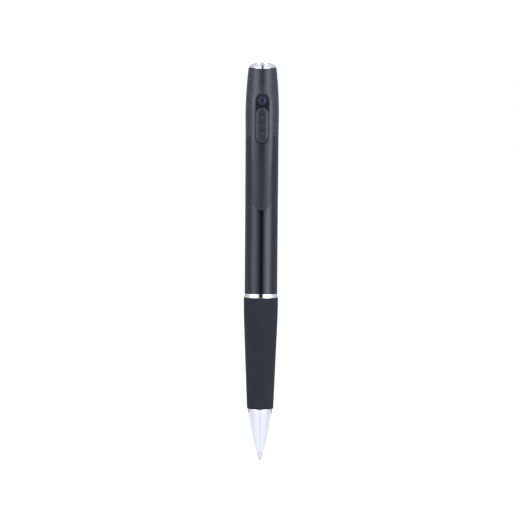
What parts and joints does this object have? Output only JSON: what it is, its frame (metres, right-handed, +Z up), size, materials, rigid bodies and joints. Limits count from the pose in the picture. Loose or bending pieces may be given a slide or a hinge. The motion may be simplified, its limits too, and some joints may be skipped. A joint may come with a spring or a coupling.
{
  "type": "pen camera",
  "caption": "Ball-point pen with a camera behind a sliding lens cover in its pocket clip, a record button on top, a twist grip that draws the refill in, and a hidden charging socket.",
  "frame": {"origin": "the lower end of the writing ball on the pen's axis, with the point out", "axes": "+Z up the pen's axis from the writing point to the record button, -Y out of the front where the clip and the lens are, +X to the right as seen from the front"},
  "size_m": [0.013, 0.0149, 0.15],
  "materials": {
    "satin_black": "satin black moulding",
    "black_lacquer": "gloss black lacquer",
    "bright_chrome": "polished chrome plate",
    "grip_rubber": "fine matt rubber",
    "seal_rubber": "smooth silicone rubber",
    "lens_glass": "coated glass",
    "lens_mount": "grey anodised",
    "inner_black": "black engineering plastic",
    "inner_white": "white engineering plastic",
    "circuit_board": "green solder mask",
    "chip_black": "epoxy moulding",
    "ribbon_amber": "amber film",
    "lamp_clear": "clear resin",
    "cell_foil": "foil pouch",
    "bright_steel": "bright steel",
    "turned_aluminium": "turned",
    "turned_brass": "turned",
    "nickel_silver": "turned nickel silver",
    "hard_ball": "ground carbide"
  },
  "bodies": {
    "upper": {"cap_clip": "satin_black", "upper_barrel": "black_lacquer", "top_bezel": "bright_chrome", "tact_switch": "inner_black", "switch_board": "circuit_board", "status_lamp": "lamp_clear", "camera_housing": "inner_black", "lens_barrel": "lens_mount", "front_lens": "lens_glass", "image_sensor": "chip_black", "sensor_board": "circuit_board", "camera_ribbon": "ribbon_amber", "switch_ribbon": "ribbon_amber", "main_board": "circuit_board", "processor_chip": "chip_black", "memory_chip": "chip_black", "microphone": "bright_steel", "battery": "cell_foil", "inner_sled": "inner_white", "socket_shell": "bright_steel", "socket_tongue": "inner_black", "joint_plug": "inner_black", "seal_ring": "seal_rubber"},
    "record_button": {"record_button": "bright_chrome", "switch_plunger": "inner_black"},
    "lens_cover": {"lens_cover": "satin_black", "cover_retainer": "bright_steel"},
    "coupling": {"joint_ring": "bright_chrome", "coupling_sleeve": "turned_aluminium", "guide_tube": "turned_brass", "retaining_ring": "bright_steel"},
    "grip": {"grip_core": "inner_black", "rubber_grip": "grip_rubber", "nose_cone": "bright_chrome", "cam_sleeve": "turned_brass"},
    "refill": {"refill_tube": "bright_steel", "writing_point": "nickel_silver", "writing_ball": "hard_ball", "refill_holder": "inner_white", "cross_pin": "bright_steel"}
  },
  "joints": [
    {"name": "button_press", "type": "slide", "parent": "upper", "child": "record_button", "axis": [0, 0, -1], "range_m": [0, 0.0005], "stiffness_N_per_m": 3000},
    {"name": "cover_slide", "type": "slide", "parent": "upper", "child": "lens_cover", "axis": [0, 0, 1], "range_m": [0, 0.005]},
    {"name": "halves_pull", "type": "slide", "parent": "upper", "child": "coupling", "axis": [0, 0, -1], "range_m": [0, 0.025]},
    {"name": "grip_twist", "type": "hinge", "parent": "coupling", "child": "grip", "pos_m": [0, 0, 0.055], "axis": [0, 0, 1], "range_deg": [0, 180]},
    {"name": "refill_feed", "type": "slide", "parent": "coupling", "child": "refill", "axis": [0, 0, 1], "range_m": [0, 0.0045]}
  ],
  "couplings": [
    {"joint": "grip_twist", "follows": "refill_feed", "rad_per_m": 698.13}
  ]
}
